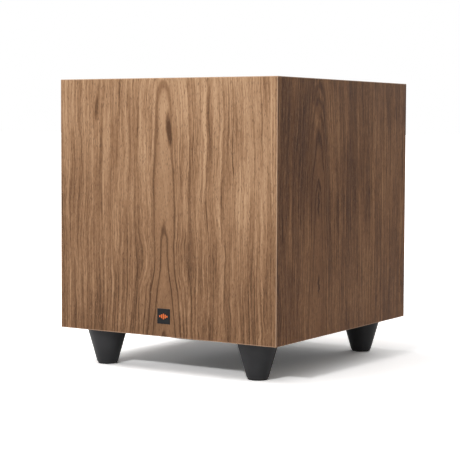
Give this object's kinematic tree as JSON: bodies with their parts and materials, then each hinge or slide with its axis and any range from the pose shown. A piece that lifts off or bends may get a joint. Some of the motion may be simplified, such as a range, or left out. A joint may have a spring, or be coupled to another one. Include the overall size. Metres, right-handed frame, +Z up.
{
  "type": "powered subwoofer",
  "caption": "Walnut-veneered box on conical black feet, with a down-firing woofer and reflex port beneath and a plate amplifier with controls in its back.",
  "frame": {"origin": "on the floor under the middle of the whole object's box (badge to knobs)", "axes": "+X to the viewer's right seen from the front, +Y from the front face to the back, +Z up"},
  "size_m": [0.355, 0.3998, 0.404],
  "materials": {
    "walnut_veneer": "satin open-grain veneer",
    "black_baffle": "matt black paint",
    "raw_board": "raw fibreboard",
    "wadding": "polyester wadding",
    "black_moulding": "satin moulded",
    "soft_rubber": "matt",
    "black_steel": "black zinc",
    "zinc_steel": "zinc plated",
    "badge_black": "satin",
    "badge_orange": "satin enamel",
    "frame_paint": "textured powder coat",
    "amp_paint": "fine textured powder coat",
    "heatsink_black": "black anodised",
    "cone_paper": "coated pulp",
    "coil": "enamelled copper on a kapton former",
    "spider_cloth": "resin-dipped weave",
    "ferrite": "sintered",
    "braid": "copper braid",
    "foam": "closed-cell foam",
    "circuit_board": "solder resist",
    "components": "sleeved",
    "lead_insulation": "insulated wire",
    "bright_nickel": "nickel plated",
    "phono_plastic": "moulded",
    "fuse_glass": "clear with metal caps",
    "light_lens": "tinted lens"
  },
  "bodies": {
    "cabinet": {"front_panel": "walnut_veneer", "rear_panel": "walnut_veneer", "left_panel": "walnut_veneer", "right_panel": "walnut_veneer", "top_panel": "walnut_veneer", "bottom_panel": "black_baffle", "window_brace": "raw_board", "corner_blocks": "raw_board", "damping_wadding": "wadding", "foot_front_left": "black_moulding", "foot_front_right": "black_moulding", "foot_rear_left": "black_moulding", "foot_rear_right": "black_moulding", "port_flare": "black_moulding", "port_tube": "black_moulding", "power_switch_frame": "black_moulding", "mains_inlet": "black_moulding", "slide_switch_bodies": "black_moulding", "woofer_terminals": "black_moulding", "foot_pads": "soft_rubber", "woofer_surround": "soft_rubber", "woofer_gasket": "soft_rubber", "cable_grommet": "soft_rubber", "foot_bolts": "black_steel", "amp_screws": "black_steel", "woofer_screws": "black_steel", "foot_inserts": "zinc_steel", "amp_chassis": "zinc_steel", "magnet_front_plate": "zinc_steel", "magnet_yoke": "zinc_steel", "potentiometers": "zinc_steel", "badge_plate": "badge_black", "badge_mark": "badge_orange", "woofer_frame": "frame_paint", "amp_plate": "amp_paint", "heatsink": "heatsink_black", "woofer_spider": "spider_cloth", "ferrite_magnet": "ferrite", "tinsel_leads": "braid", "amp_gasket": "foam", "main_board": "circuit_board", "control_boards": "circuit_board", "filter_capacitors": "components", "power_transformer": "components", "output_chokes": "components", "speaker_leads": "lead_insulation", "inlet_pins": "bright_nickel", "phono_barrels": "bright_nickel", "phono_insulators": "phono_plastic", "status_light": "light_lens"},
    "cone": {"woofer_cone": "cone_paper", "woofer_dust_cap": "cone_paper", "voice_coil": "coil"},
    "gain_control": {"gain_knob": "black_moulding"},
    "crossover_control": {"crossover_knob": "black_moulding"},
    "phase_switch": {"phase_slider": "black_moulding"},
    "mode_switch": {"mode_slider": "black_moulding"},
    "power_switch": {"power_rocker": "black_moulding"},
    "fuse_holder": {"fuse_drawer": "black_moulding", "fuse": "fuse_glass"}
  },
  "joints": [
    {"name": "cone_travel", "type": "slide", "parent": "cabinet", "child": "cone", "axis": [0, 0, 1], "range_m": [-0.01, 0.01], "stiffness_N_per_m": 3000, "deforming": ["woofer_surround", "woofer_spider", "tinsel_leads"]},
    {"name": "gain_turn", "type": "hinge", "parent": "cabinet", "child": "gain_control", "pos_m": [0.048, 0.18595, 0.238], "axis": [0, 1, 0], "range_deg": [-150, 150]},
    {"name": "crossover_turn", "type": "hinge", "parent": "cabinet", "child": "crossover_control", "pos_m": [0.006, 0.18595, 0.238], "axis": [0, 1, 0], "range_deg": [-150, 150]},
    {"name": "phase_slide", "type": "slide", "parent": "cabinet", "child": "phase_switch", "axis": [-1, 0, 0], "range_m": [0, 0.0054]},
    {"name": "mode_slide", "type": "slide", "parent": "cabinet", "child": "mode_switch", "axis": [-1, 0, 0], "range_m": [0, 0.0054]},
    {"name": "power_rock", "type": "hinge", "parent": "cabinet", "child": "power_switch", "pos_m": [-0.014, 0.18195, 0.184], "axis": [1, 0, 0], "range_deg": [-20, 0]},
    {"name": "fuse_drawer_slide", "type": "slide", "parent": "cabinet", "child": "fuse_holder", "axis": [0, 1, 0], "range_m": [0, 0.02]}
  ]
}
